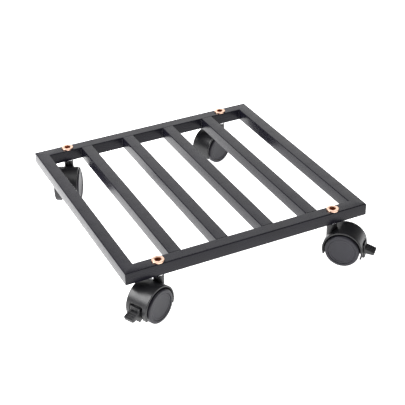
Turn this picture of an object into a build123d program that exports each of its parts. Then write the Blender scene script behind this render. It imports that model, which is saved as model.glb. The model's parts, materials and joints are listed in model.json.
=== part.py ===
"""Rolling stand for a computer case: a welded square frame of steel tube on four twin-wheel castors.

+X is to the right, +Y to the back and +Z up. The origin is on the floor, in the middle of the outline that
the stand takes up with its castors parked as they are here. Every piece is modelled about the frame's own
middle, and moved by frame_middle when it is written.
Each castor is modelled on its own plane: that plane's origin is on the floor under the swivel stem, its
x runs forward from the stem towards the axle, and its y runs along the axle.
"""
from build123d import *
import os

# Driving dimensions, in millimetres and degrees
frame_side = 300.0
tube_size = 15.0
tube_wall = 1.2
tube_corner = 1.0
slat_count = 4
castor_height = 50.0
nut_inset = 41.0

wheel_radius = 20.0
castor_half_width = 16.0
trail = 16.0

# The frame's middle, seen from the middle of the parked stand's outline
frame_middle = (4.2, 12.5, 0.0)

# Frame
deck_height = castor_height + tube_size
half_side = frame_side / 2
rail_centre = half_side - tube_size / 2
rail_inner = half_side - tube_size
tube_mid_height = castor_height + tube_size / 2
slat_pitch = (frame_side - tube_size) / (slat_count + 1)
weld_leg = 1.6
weld_margin = 1.5

# Sleeve nuts: a flat flange on the rail, and a threaded sleeve that reaches the rail's lower wall
flange_radius = 7.15
flange_thickness = 1.6
flange_edge = 0.5
sleeve_radius = 5.2
sleeve_clearance = 0.1
socket_across_flats = 7.0
socket_depth = 3.6
thread_radius = 4.0
thread_depth = 11.0
thread_clearance = 0.05
thread_end_gap = 1.0
stem_hole_radius = 4.3

# Castor stem: thread, collar, swivel pin and ring groove
collar_radius = 6.0
collar_thickness = 1.5
collar_gap = 0.3
pin_radius = 3.5
pin_clearance = 0.05
stem_end = 24.6
stem_chamfer = 0.6
ring_bottom = 25.35
ring_thickness = 0.7
ring_inner_radius = 2.75
ring_outer_radius = 5.0
ring_gap = 2.4

# Hood: shell over the wheels, web between them, swivel neck and axle boss
hood_radius = 23.8
hood_thickness = 2.0
hood_half_width = 14.2
hood_edge = 0.9
hood_end_angle = 20.0
neck_radius = 6.0
neck_top = castor_height - collar_thickness - collar_gap
neck_bottom = 26.4
ring_pocket_radius = 5.6
ring_pocket_depth = 3.2
web_half_thickness = 3.0
web_front = 24.0
web_bottom = 9.0
boss_radius = 5.0
boss_half_length = 6.4

# Wheels, covers and axle; distances along the axle are measured from the castor's middle
wheel_inner_face = 6.8
shoulder_radius = 16.4
shoulder_end = 9.2
tread_rounding = 1.8
rim_inner_radius = 15.2
disc_inner_face = 10.8
disc_outer_face = 12.2
cover_radius = 16.2
cover_step = 0.5
cover_thickness = 1.4
cover_skirt = 1.4
cover_edge = 0.5
hub_radius = 5.2
hub_end = 12.8
axle_radius = 2.5
axle_clearance = 0.05
axle_half_length = 13.6
axle_chamfer = 0.3
axle_ring_start = 13.1
axle_ring_end = 13.5
axle_ring_radius = 4.4
rib_count = 6
rib_thickness = 1.2
rib_start = 7.8

# Brake pedal, its slot in the hood and its pivot; outlines are in the castor's side plane
pivot_angle = 26.0
pivot_distance = 19.0
pivot_pin_radius = 1.25
pivot_clearance = 0.05
pedal_half_width = 6.5
lug_half_width = 5.5
pad_outer_radius = 25.3
pad_inner_radius = 21.2
pad_top_angle = 16.5
pad_bottom_angle = -14.0
pad_recess_width = 8.6
pad_recess_height = 5.6
pad_recess_depth = 0.5
pad_recess_angle = 9.2
pad_island_width = 4.6
pad_island_height = 2.0
lug_radius = 2.4
lug_bottom_angle = 0.0
lug_inner_radius = 19.0
shoe_radius = 19.2
shoe_outer_radius = 21.4
shoe_half_width = 8.7
shoe_span = (-9.0, 2.0)
tongue_outline = [(37.0, 16.5), (37.6, 22.7), (41.4, 22.7), (52.6, 18.9), (51.8, 15.9), (42.6, 16.8)]
tongue_corner = 2.0
groove_start = Vector(41.4, 22.7)
groove_end = Vector(52.6, 18.9)
groove_count = 3
groove_width = 1.2
groove_depth = 0.8
groove_half_length = 4.7
heel_outline = [(36.0, 17.0), (41.0, 17.3), (41.6, 11.2), (39.4, 10.2), (36.8, 12.6)]
slot_half_width = 8.6
slot_top_angle = 21.5
slot_bottom_angle = -28.0
cheek_inner_face = 6.0
cheek_outer_face = 8.2
cheek_span = (18.5, 38.0)
cheek_inner_radius = 16.9

# Where each castor stands and the way its axle trails: name, side in x, side in y, heading, brake
castor_layout = [
    ("front_left", -1, -1, -154.0, True),
    ("front_right", 1, -1, -45.0, True),
    ("rear_left", -1, 1, -118.0, False),
    ("rear_right", 1, 1, -160.0, False),
]
nut_spacing = frame_side - 2 * nut_inset


def write(builder, name):
    """Move a finished piece to its place in the stand, label it and write it as its own STEP file."""
    piece = builder.part.translate(frame_middle, transform=True)
    piece.label = name
    export_step(piece, f"parts/{name}.step")


# ---------------------------------------------------------------- frame

def tube_section(plane, position):
    """Sketch the hollow square tube section on a plane, with its centre at a position."""
    with BuildSketch(plane) as section:
        with Locations(position):
            RectangleRounded(tube_size, tube_size, tube_corner)
            inner = tube_size - 2 * tube_wall
            Rectangle(inner, inner, mode=Mode.SUBTRACT)
    return section.sketch


def make_cross_rail(name, side):
    """Front rail (side -1) or rear rail (side 1), mitred at both ends and drilled for two sleeve nuts."""
    with BuildPart() as rail:
        section = tube_section(Plane.YZ.offset(-half_side), (side * rail_centre, tube_mid_height))
        extrude(section, amount=frame_side)
        with BuildSketch(Plane.XY.offset(castor_height)):
            Polygon((-half_side, side * half_side), (half_side, side * half_side),
                    (rail_inner, side * rail_inner), (-rail_inner, side * rail_inner), align=None)
        extrude(amount=tube_size, mode=Mode.INTERSECT)
        with BuildSketch(Plane.XY.offset(deck_height)):
            with Locations((0, side * rail_centre)):
                with GridLocations(nut_spacing, 0, 2, 1):
                    Circle(sleeve_radius + sleeve_clearance)
        extrude(amount=-tube_size / 2, mode=Mode.SUBTRACT)
        with BuildSketch(Plane.XY.offset(castor_height)):
            with Locations((0, side * rail_centre)):
                with GridLocations(nut_spacing, 0, 2, 1):
                    Circle(stem_hole_radius)
        extrude(amount=tube_size / 2, mode=Mode.SUBTRACT)
    write(rail, name)


def make_side_rail(name, side):
    """Left rail (side -1) or right rail (side 1), mitred at both ends."""
    with BuildPart() as rail:
        section = tube_section(Plane.XZ.offset(-half_side), (side * rail_centre, tube_mid_height))
        extrude(section, amount=frame_side)
        with BuildSketch(Plane.XY.offset(castor_height)):
            Polygon((side * half_side, -half_side), (side * half_side, half_side),
                    (side * rail_inner, rail_inner), (side * rail_inner, -rail_inner), align=None)
        extrude(amount=tube_size, mode=Mode.INTERSECT)
    write(rail, name)


def make_slat(number):
    """One slat, square-cut and butted between the front and rear rails."""
    position = -rail_centre + number * slat_pitch
    with BuildPart() as slat:
        section = tube_section(Plane.XZ.offset(-rail_inner), (position, tube_mid_height))
        extrude(section, amount=2 * rail_inner)
    write(slat, f"slat_{number}")


def bead_section(corner, towards_x, towards_y):
    """Sketch one weld bead as a right triangle in the corner where two tubes meet."""
    x, y = corner
    Polygon((x, y), (x + towards_x * weld_leg, y), (x, y + towards_y * weld_leg), align=None)


def make_welds():
    """Upright beads: two at each slat end, and one in each inner corner of the frame."""
    bead_height = tube_size - 2 * weld_margin
    with BuildPart() as slat_welds:
        with BuildSketch(Plane.XY.offset(castor_height + weld_margin)):
            for number in range(1, slat_count + 1):
                position = -rail_centre + number * slat_pitch
                for x_side in (-1, 1):
                    for y_side in (-1, 1):
                        edge = position + x_side * tube_size / 2
                        bead_section((edge, y_side * rail_inner), x_side, -y_side)
        extrude(amount=bead_height)
    write(slat_welds, "slat_welds")

    with BuildPart() as corner_welds:
        with BuildSketch(Plane.XY.offset(castor_height + weld_margin)):
            for x_side in (-1, 1):
                for y_side in (-1, 1):
                    bead_section((x_side * rail_inner, y_side * rail_inner), -x_side, -y_side)
        extrude(amount=bead_height)
    write(corner_welds, "corner_welds")


def make_insert_nuts():
    """Four sleeve nuts: flange on the rail, hexagon socket above, blind threaded hole below."""
    sleeve_bottom = castor_height + tube_wall
    flange_top = deck_height + flange_thickness
    with BuildPart() as insert_nuts:
        with BuildSketch(Plane.XY.offset(deck_height)):
            with GridLocations(nut_spacing, 2 * rail_centre, 2, 2):
                Circle(flange_radius)
        extrude(amount=flange_thickness)
        rims = insert_nuts.edges().filter_by(GeomType.CIRCLE).group_by(Axis.Z)[-1]
        fillet(rims, flange_edge)
        with BuildSketch(Plane.XY.offset(sleeve_bottom)):
            with GridLocations(nut_spacing, 2 * rail_centre, 2, 2):
                Circle(sleeve_radius)
        extrude(amount=deck_height - sleeve_bottom)
        with BuildSketch(Plane.XY.offset(flange_top)):
            with GridLocations(nut_spacing, 2 * rail_centre, 2, 2):
                RegularPolygon(socket_across_flats / 2, 6, major_radius=False)
        extrude(amount=-socket_depth, mode=Mode.SUBTRACT)
        with BuildSketch(Plane.XY.offset(sleeve_bottom)):
            with GridLocations(nut_spacing, 2 * rail_centre, 2, 2):
                Circle(thread_radius + thread_clearance)
        extrude(amount=thread_depth, mode=Mode.SUBTRACT)
    write(insert_nuts, "insert_nuts")


# ---------------------------------------------------------------- castor planes

def side_plane(castor, distance=0.0):
    """Upright plane across the axle at a distance along it: x is forward and y is up."""
    return Plane(castor.origin, x_dir=castor.x_dir, z_dir=-castor.y_dir).offset(-distance)


def axle_plane(castor, side):
    """Upright plane through the axle: x runs outwards along the axle and y is the radius."""
    centre = castor.origin + castor.x_dir * trail + castor.z_dir * wheel_radius
    return Plane(centre, x_dir=castor.y_dir * side, z_dir=castor.x_dir * side)


def axle_axis(castor):
    """The line that the wheels turn about."""
    plane = axle_plane(castor, 1)
    return Axis(plane.origin, plane.x_dir)


def sector(inner, outer, start, end):
    """Sketch part of a ring about the axle, between two angles above the forward direction."""
    with Locations((trail, wheel_radius)):
        Circle(outer)
        Circle(inner, mode=Mode.SUBTRACT)
        reach = 2 * outer
        middle = (start + end) / 2
        corners = [(0, 0)]
        for angle in (start, (start + middle) / 2, middle, (middle + end) / 2, end):
            corners.append(tuple(Vector(reach, 0).rotate(Axis.Z, angle))[:2])
        Polygon(*corners, align=None, mode=Mode.INTERSECT)


def pivot_point():
    """Where the pedal's pin crosses a castor's side plane."""
    arm = Vector(pivot_distance, 0).rotate(Axis.Z, pivot_angle)
    return trail + arm.X, wheel_radius + arm.Y


# ---------------------------------------------------------------- castor pieces

def make_stem(castor, name):
    """Threaded stem with a collar under the rail, a swivel pin and a groove for its ring."""
    sections = [
        (stem_end, ring_bottom, pin_radius),
        (ring_bottom, ring_bottom + ring_thickness, ring_inner_radius),
        (ring_bottom + ring_thickness, castor_height - collar_thickness, pin_radius),
        (castor_height - collar_thickness, castor_height, collar_radius),
        (castor_height, castor_height + tube_wall + thread_depth - thread_end_gap, thread_radius),
    ]
    with BuildPart() as stem:
        for bottom, top, radius in sections:
            with BuildSketch(castor.offset(bottom)):
                Circle(radius)
            extrude(amount=top - bottom)
        ends = stem.edges().filter_by(GeomType.CIRCLE).group_by(Axis.Z)
        chamfer([*ends[0], *ends[-1]], stem_chamfer)
    write(stem, f"{name}_stem")


def make_stem_ring(castor, name):
    """Open ring, snapped into the stem's groove, that holds the hood on."""
    with BuildPart() as ring:
        with BuildSketch(castor.offset(ring_bottom)):
            Circle(ring_outer_radius)
            Circle(ring_inner_radius, mode=Mode.SUBTRACT)
            with Locations((-ring_outer_radius, 0)):
                Rectangle(2 * ring_outer_radius, ring_gap, mode=Mode.SUBTRACT)
        extrude(amount=ring_thickness)
    write(ring, f"{name}_stem_ring")


def make_hood(castor, name, braked):
    """Hood moulding: shell, web, swivel neck and axle boss, with a pedal slot where there is a brake."""
    with BuildPart() as hood:
        with BuildSketch(side_plane(castor)):
            sector(hood_radius - hood_thickness, hood_radius, -hood_end_angle, 180 + hood_end_angle)
        extrude(amount=hood_half_width, both=True)
        rim_edges = hood.edges().filter_by(GeomType.CIRCLE).filter_by(
            lambda edge: abs(edge.radius - hood_radius) < hood_edge)
        fillet(rim_edges, hood_edge)

        with BuildSketch(side_plane(castor)):
            with Locations((trail, wheel_radius)):
                Circle(hood_radius - hood_thickness / 2)
            with Locations((web_front, web_bottom)):
                Rectangle(2 * hood_radius, 2 * hood_radius, align=(Align.MAX, Align.MIN),
                          mode=Mode.INTERSECT)
        extrude(amount=web_half_thickness, both=True)
        with BuildSketch(castor.offset(neck_bottom)):
            Circle(neck_radius)
        extrude(amount=neck_top - neck_bottom)
        with BuildSketch(side_plane(castor)):
            with Locations((trail, wheel_radius)):
                Circle(boss_radius)
        extrude(amount=boss_half_length, both=True)

        with BuildSketch(castor.offset(neck_bottom - ring_pocket_depth)):
            Circle(ring_pocket_radius)
        extrude(amount=ring_pocket_depth, mode=Mode.SUBTRACT)
        with BuildSketch(castor.offset(neck_bottom)):
            Circle(pin_radius + pin_clearance)
        extrude(amount=castor_height, mode=Mode.SUBTRACT)
        with BuildSketch(side_plane(castor)):
            with Locations((trail, wheel_radius)):
                Circle(axle_radius)
        extrude(amount=castor_half_width, both=True, mode=Mode.SUBTRACT)

        if braked:
            with BuildSketch(side_plane(castor)):
                sector(web_front - trail, 2 * hood_radius, slot_bottom_angle, slot_top_angle)
            extrude(amount=slot_half_width, both=True, mode=Mode.SUBTRACT)
            for side in (-1, 1):
                start = cheek_outer_face if side > 0 else -cheek_inner_face
                with BuildSketch(side_plane(castor, start)):
                    sector(cheek_inner_radius, hood_radius - hood_thickness / 2, *cheek_span)
                    with Locations(pivot_point()):
                        Circle(pivot_pin_radius, mode=Mode.SUBTRACT)
                extrude(amount=cheek_outer_face - cheek_inner_face)
    write(hood, f"{name}_hood")


def make_axle(castor, name):
    """Plain steel axle, pressed through the hood's boss."""
    with BuildPart() as axle:
        with BuildSketch(side_plane(castor)):
            with Locations((trail, wheel_radius)):
                Circle(axle_radius)
        extrude(amount=axle_half_length, both=True)
        chamfer(axle.edges().filter_by(GeomType.CIRCLE), axle_chamfer)
    write(axle, f"{name}_axle")


def make_axle_rings(castor, name):
    """Two push-on rings, one outside each wheel hub."""
    with BuildPart() as rings:
        for start in (axle_ring_end, -axle_ring_start):
            with BuildSketch(side_plane(castor, start)):
                with Locations((trail, wheel_radius)):
                    Circle(axle_ring_radius)
                    Circle(axle_radius, mode=Mode.SUBTRACT)
            extrude(amount=axle_ring_end - axle_ring_start)
    write(rings, f"{name}_axle_rings")


def make_wheel(castor, name, side):
    """One wheel: hub, disc, ribs and rim, stepped down beside the hood's web to clear the brake shoe."""
    bore = axle_radius + axle_clearance
    face = castor_half_width
    with BuildPart() as wheel:
        with BuildSketch(axle_plane(castor, side)):
            with BuildLine():
                Polyline((wheel_inner_face, bore), (wheel_inner_face, hub_radius),
                         (disc_inner_face, hub_radius), (disc_inner_face, rim_inner_radius),
                         (wheel_inner_face, rim_inner_radius), (wheel_inner_face, shoulder_radius),
                         (shoulder_end, shoulder_radius), (shoulder_end, wheel_radius),
                         (face - tread_rounding, wheel_radius))
                RadiusArc((face - tread_rounding, wheel_radius), (face, wheel_radius - tread_rounding),
                          tread_rounding)
                Polyline((face, wheel_radius - tread_rounding), (face, cover_radius),
                         (disc_outer_face, cover_radius), (disc_outer_face, hub_radius),
                         (hub_end, hub_radius), (hub_end, bore), (wheel_inner_face, bore))
            make_face()
        revolve(axis=axle_axis(castor))
        with BuildSketch(side_plane(castor, side * (rib_start if side < 0 else disc_inner_face))):
            with Locations((trail, wheel_radius)):
                with PolarLocations((hub_radius + rim_inner_radius) / 2, rib_count):
                    Rectangle(rim_inner_radius - hub_radius + rib_thickness, rib_thickness)
        extrude(amount=disc_inner_face - rib_start)
    write(wheel, f"{name}_wheel")


def make_cover(castor, name, side):
    """Disc that snaps into the wheel's outer face, a little below its rim."""
    outer_face = castor_half_width - cover_step
    inner_face = outer_face - cover_thickness
    skirt_inner = cover_radius - cover_skirt
    with BuildPart() as cover:
        with BuildSketch(axle_plane(castor, side)):
            with BuildLine():
                Polyline((inner_face, 0), (inner_face, skirt_inner), (disc_outer_face, skirt_inner),
                         (disc_outer_face, cover_radius), (outer_face - cover_edge, cover_radius),
                         (outer_face, cover_radius - cover_edge), (outer_face, 0), (inner_face, 0))
            make_face()
        revolve(axis=axle_axis(castor))
    write(cover, f"{name}_cover")


def make_pedal(castor, name):
    """Brake pedal: recessed pad, grooved tongue, heel, pivot lug and the two shoes that reach the wheels."""
    axle_centre = axle_plane(castor, 1).origin
    along_tongue = groove_end - groove_start
    groove_tilt = Vector(1, 0).get_signed_angle(along_tongue)
    tip_slope = Vector(*tongue_outline[3]) - Vector(*tongue_outline[4])
    tip_direction = castor.x_dir * tip_slope.X + castor.z_dir * tip_slope.Y
    with BuildPart() as pedal:
        with BuildSketch(side_plane(castor)):
            Polygon(*tongue_outline, align=None)
        extrude(amount=pedal_half_width, both=True)
        fillet(pedal.edges().filter_by(Axis(castor.origin, tip_direction)), tongue_corner)
        with BuildSketch(side_plane(castor)):
            sector(pad_inner_radius, pad_outer_radius, pad_bottom_angle, pad_top_angle)
            Polygon(*heel_outline, align=None)
        extrude(amount=pedal_half_width, both=True)
        with BuildSketch(side_plane(castor)):
            sector(lug_inner_radius, pad_inner_radius, lug_bottom_angle, pivot_angle)
            with Locations(pivot_point()):
                Circle(lug_radius)
        extrude(amount=lug_half_width, both=True)
        with BuildSketch(side_plane(castor)):
            sector(shoe_radius, shoe_outer_radius, *shoe_span)
        extrude(amount=shoe_half_width, both=True)

        for number in range(1, groove_count + 1):
            middle = groove_start + along_tongue * (number / (groove_count + 1))
            with BuildSketch(side_plane(castor)):
                with Locations(Location((middle.X, middle.Y, 0), (0, 0, groove_tilt))):
                    Rectangle(groove_width, 2 * groove_depth)
            extrude(amount=groove_half_length, both=True, mode=Mode.SUBTRACT)
        with BuildSketch(side_plane(castor)):
            with Locations(pivot_point()):
                Circle(pivot_pin_radius + pivot_clearance)
        extrude(amount=pedal_half_width, both=True, mode=Mode.SUBTRACT)

        outwards = castor.x_dir.rotate(Axis((0, 0, 0), castor.y_dir), -pad_recess_angle)
        floor_point = axle_centre + outwards * (pad_outer_radius - pad_recess_depth)
        with BuildSketch(Plane(floor_point, x_dir=castor.y_dir, z_dir=outwards)):
            Rectangle(pad_recess_width, pad_recess_height)
            Rectangle(pad_island_width, pad_island_height, mode=Mode.SUBTRACT)
        extrude(amount=pad_recess_depth * 2, mode=Mode.SUBTRACT)
    write(pedal, f"{name}_pedal")


def make_pedal_pin(castor, name):
    """Pin that the pedal rocks on, pressed into the hood's cheeks."""
    with BuildPart() as pin:
        with BuildSketch(side_plane(castor)):
            with Locations(pivot_point()):
                Circle(pivot_pin_radius)
        extrude(amount=cheek_outer_face, both=True)
    write(pin, f"{name}_pedal_pin")


# ---------------------------------------------------------------- build

os.makedirs("parts", exist_ok=True)

make_cross_rail("front_rail", -1)
make_cross_rail("rear_rail", 1)
make_side_rail("left_rail", -1)
make_side_rail("right_rail", 1)
for slat_number in range(1, slat_count + 1):
    make_slat(slat_number)
make_welds()
make_insert_nuts()

for castor_name, x_side, y_side, heading, braked in castor_layout:
    foot = (x_side * nut_spacing / 2, y_side * rail_centre, 0)
    forward = Vector(1, 0, 0).rotate(Axis.Z, heading)
    castor_plane = Plane(foot, x_dir=forward, z_dir=(0, 0, 1))
    make_stem(castor_plane, castor_name)
    make_stem_ring(castor_plane, castor_name)
    make_hood(castor_plane, castor_name, braked)
    make_axle(castor_plane, castor_name)
    make_axle_rings(castor_plane, castor_name)
    for wheel_name, wheel_side in (("left", 1), ("right", -1)):
        make_wheel(castor_plane, f"{castor_name}_{wheel_name}", wheel_side)
        make_cover(castor_plane, f"{castor_name}_{wheel_name}", wheel_side)
    if braked:
        make_pedal(castor_plane, castor_name)
        make_pedal_pin(castor_plane, castor_name)
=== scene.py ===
"""Rolling stand for a computer case: a welded square frame of black tube on four twin-wheel castors.

The CAD frame gives every piece its place. Each operator below makes one kind of piece as a finished mesh,
gives it its finish, and lets it ride on the body that it belongs to.
"""
import json
import math

import bmesh
import bpy
from bpy.props import FloatProperty, FloatVectorProperty, IntProperty, PointerProperty
from bpy.types import Operator, Panel, PropertyGroup
from mathutils import Matrix, Vector


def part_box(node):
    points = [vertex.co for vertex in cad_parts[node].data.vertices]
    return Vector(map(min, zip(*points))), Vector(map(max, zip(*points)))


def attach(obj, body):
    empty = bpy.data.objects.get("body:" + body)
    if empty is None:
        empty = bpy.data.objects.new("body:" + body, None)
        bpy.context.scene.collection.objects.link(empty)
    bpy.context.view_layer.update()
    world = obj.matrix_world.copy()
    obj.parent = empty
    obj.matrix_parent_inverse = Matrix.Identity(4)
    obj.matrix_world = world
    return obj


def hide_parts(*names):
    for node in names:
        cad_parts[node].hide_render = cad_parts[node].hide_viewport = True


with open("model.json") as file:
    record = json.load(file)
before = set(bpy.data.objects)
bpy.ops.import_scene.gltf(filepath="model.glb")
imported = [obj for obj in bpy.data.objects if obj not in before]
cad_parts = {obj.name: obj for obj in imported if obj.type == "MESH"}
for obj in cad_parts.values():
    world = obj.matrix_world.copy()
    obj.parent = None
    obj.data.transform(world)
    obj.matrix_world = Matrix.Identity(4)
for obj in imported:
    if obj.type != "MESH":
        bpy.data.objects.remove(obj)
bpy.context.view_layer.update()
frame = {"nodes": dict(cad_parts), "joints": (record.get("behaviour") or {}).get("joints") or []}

bl_info = {
    "name": "Rolling Computer Stand",
    "version": (1, 0, 0),
    "blender": (4, 5, 0),
    "location": "3D View > Sidebar > Stand",
    "description": "Makes a square-tube rolling stand with twin-wheel castors over its CAD frame",
    "category": "Object",
}

CASTOR_NAMES = ("front_left", "front_right", "rear_left", "rear_right")
BRAKED_NAMES = ("front_left", "front_right")
JOINTS = {joint["name"]: joint for joint in frame["joints"]}
SLAT_NAMES = sorted(name for name in frame["nodes"] if name.startswith("slat_") and name[5:].isdigit())

rail_low, rail_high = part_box("front_rail")
slat_low, slat_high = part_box(SLAT_NAMES[0])
next_slat_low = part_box(SLAT_NAMES[1])[0]
rear_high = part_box("rear_rail")[1]
MIDDLE = Vector(((rail_low.x + rail_high.x) / 2, (rail_low.y + rear_high.y) / 2, 0))
SIDE = rail_high.x - rail_low.x
TUBE = slat_high.x - slat_low.x
DECK = rail_high.z
UNDERSIDE = rail_low.z
SLAT_PITCH = next_slat_low.x - slat_low.x

# Limits for the mesh work, in metres: a smaller radius is a pole, and closer points are the same
POLE_RADIUS = 1e-6
SAME_POINT = 1e-5
MERGE_DISTANCE = 1e-7

# Details of the frame, in metres
OVERSHOOT = 0.001
DRILL_DEPTH = 0.003
SLEEVE_HOLE_RADIUS = 0.0053
STEM_HOLE_RADIUS = 0.0043
TUBE_INNER_CORNER = 0.0003
WELD_MARGIN = 0.0015
SLEEVE_RADIUS = 0.0052
NUT_BORE_RADIUS = 0.00405
NUT_BORE_DEPTH = 0.011
FLANGE_EDGE = 0.0005
SOCKET_CONE = 0.0004
SOCKET_BLEND = 0.0003
SOCKET_SHADE_DEPTHS = (0.0009, 0.0002)
SOCKET_LEAD_IN = ((0.0, 0.00035), (0.00012, 0.0001), (0.0004, 0.0))

# Shares of a weld ripple's radius, and the painted shade inside the sleeve nuts' sockets, a dull brown
WELD_INSET = 0.35
RIPPLE_REACH = 0.8
SOCKET_PAINTED_SHADE = (0.42, 0.21, 0.13, 1)

# Details of the castors, in metres and degrees; distances along the axle are from the castor's middle
THREAD_RADIUS = 0.004
PIN_RADIUS = 0.0035
PIN_BORE_RADIUS = 0.00355
PIN_GROOVE = (0.02535, 0.02605)
PIN_GROOVE_RADIUS = 0.00275
COLLAR_RADIUS = 0.006
COLLAR_HEIGHT = 0.0015
RING_POCKET_BOTTOM = 0.0232
RING_POCKET_RADIUS = 0.0056
NECK_BOTTOM = 0.0264
NECK_TOP = UNDERSIDE - 0.0018
WEB_HALF_THICKNESS = 0.003
WEB_FRONT = 0.024
WEB_BOTTOM = 0.009
AXLE_RADIUS = 0.0025
BOSS_RADIUS = 0.005
BOSS_HALF_LENGTH = 0.0064
SLOT_CORNER = 0.0018
HOOD_EDGE = 0.0019
HOOD_COLUMN = 0.0034
WHEEL_BORE_RADIUS = 0.00255
WHEEL_INNER_FACE = 0.0068
SHOULDER_RADIUS = 0.0164
SHOULDER_END = 0.0092
RIM_INNER_RADIUS = 0.0152
DISC_INNER_FACE = 0.0108
DISC_OUTER_FACE = 0.0122
HUB_RADIUS = 0.0052
HUB_END = 0.0128
TREAD_ROUNDING = 0.0018
RIB_OVERLAP = 0.0003
RIB_THICKNESS = 0.0012
RIB_START = 0.0078
RIB_DEPTH = 0.0031
COVER_RADIUS = 0.0162
COVER_STEP = 0.0005
COVER_INNER_FACE = 0.0141
COVER_SKIRT_RADIUS = 0.0148
DISH_DEPTH = 0.00035
DISH_RADII = (0.0139, 0.01355)

# Details of the brake pedals, in metres and degrees; outlines are in the castor's side plane
PAD_RADII = (0.0212, 0.0253)
PAD_TOP_ANGLE = 16.5
TONGUE_TOP_ANGLE = 6.15
PAD_END_ANGLE = -7.5
TONGUE_ROOT = (0.0414, 0.0227)
TONGUE_TIP = ((0.0526, 0.0189), (0.0518, 0.0159))
TONGUE_CORNER = 0.002
SHORTEST_END = 0.001
HEEL_OUTLINE = [(0.0426, 0.0168), (0.0414, 0.0169), (0.0416, 0.0112), (0.0394, 0.0102), (0.0368, 0.0126),
                (0.0362, 0.017), (0.037, 0.017)]
GROOVE_SIZE = (0.0012, 0.0008, 0.0094)
RECESS_ANGLE = 9.2
RECESS_SIZE = (0.0086, 0.0056)
RECESS_CORNER = 0.0009
ISLAND_SIZE = (0.0046, 0.0020)
ISLAND_CORNER = 0.0005
RECESS_DEPTH = 0.0005
PIVOT_RADIUS = 0.019
PIVOT_ANGLE = 26.0
PIVOT_BORE_RADIUS = 0.0013
LUG_RADIUS = 0.0024
LUG_HALF_WIDTH = 0.0055
INNER_PLATE_RADIUS = 0.0214
SHOE_RADIUS = 0.0192
SHOE_SPAN = (-9.0, 2.0)
SHOE_HALF_WIDTH = 0.0087
CHEEK_FACES = (0.006, 0.0082)
CHEEK_INNER_RADIUS = 0.0169
CHEEK_SPAN = (18.5, 38.0)

# Camera: its direction from the deck's middle in radians, and its place in frame sides from there
CAMERA_TURN = -0.4410
CAMERA_RISE = 0.5482
CAMERA_ROLL = -0.0258
CAMERA_BACK = 4.1467
CAMERA_RIGHT = 0.0403
CAMERA_DOWN = 0.1028


# ---------------------------------------------------------------- sizes and colours

class StandFrameSizes(PropertyGroup):
    """Sizes of the welded frame, its weld beads and its sleeve nuts."""

    tube_wall: FloatProperty(
        name="Tube Wall", description="Wall thickness of the square tube",
        default=0.0012, min=0.0005, unit="LENGTH")
    tube_corner: FloatProperty(
        name="Tube Corner", description="Outer corner radius of the square tube",
        default=0.001, min=0.0002, unit="LENGTH")
    weld_radius: FloatProperty(
        name="Weld Radius", description="Radius of one ripple of a weld bead",
        default=0.00125, min=0.0003, unit="LENGTH")
    weld_ripples: IntProperty(
        name="Weld Ripples", description="Number of ripples in each weld bead", default=11, min=2, max=40)
    weld_seed: IntProperty(name="Weld Seed", description="Seed for the unevenness of the ripples", default=4)
    flange_radius: FloatProperty(
        name="Flange Radius", description="Radius of a sleeve nut's flange",
        default=0.00715, min=0.004, unit="LENGTH")
    flange_height: FloatProperty(
        name="Flange Height", description="Height of the flange above the rail",
        default=0.0016, min=0.0005, unit="LENGTH")
    socket_flats: FloatProperty(
        name="Socket Flats", description="Width of the hexagon socket across its flats",
        default=0.007, min=0.002, unit="LENGTH")
    socket_depth: FloatProperty(
        name="Socket Depth", description="Depth of the hexagon socket", default=0.0036, min=0.001,
        unit="LENGTH")


class StandCastorSizes(PropertyGroup):
    """Sizes shared by the four castors."""

    wheel_radius: FloatProperty(
        name="Wheel Radius", description="Radius of a wheel's tread", default=0.02, unit="LENGTH")
    half_width: FloatProperty(
        name="Half Width", description="Distance from the castor's middle to a wheel's outer face",
        default=0.016, unit="LENGTH")
    hood_radius: FloatProperty(
        name="Hood Radius", description="Outer radius of the hood", default=0.0238, unit="LENGTH")
    hood_thickness: FloatProperty(
        name="Hood Thickness", description="Wall thickness of the hood", default=0.002, unit="LENGTH")
    hood_half_width: FloatProperty(
        name="Hood Half Width", description="Half the width of the hood along the axle",
        default=0.0142, unit="LENGTH")
    hood_end_angle: FloatProperty(
        name="Hood End Angle", description="How far the hood reaches below the axle at each end",
        default=math.radians(20.0), subtype="ANGLE")
    neck_radius: FloatProperty(
        name="Neck Radius", description="Radius of the swivel neck", default=0.006, unit="LENGTH")
    slot_half_width: FloatProperty(
        name="Slot Half Width", description="Half the width of the pedal's slot in the hood",
        default=0.0086, unit="LENGTH")
    slot_top_angle: FloatProperty(
        name="Slot Top Angle", description="Height of the slot's top edge, as an angle about the axle",
        default=math.radians(21.5), subtype="ANGLE")
    pedal_half_width: FloatProperty(
        name="Pedal Half Width", description="Half the width of the brake pedal",
        default=0.0065, unit="LENGTH")
    groove_count: IntProperty(
        name="Grooves", description="Number of grip grooves across the pedal's tongue", default=3, min=1)
    rib_count: IntProperty(
        name="Wheel Ribs", description="Number of ribs on the hidden side of a wheel", default=6, min=3)


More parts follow.
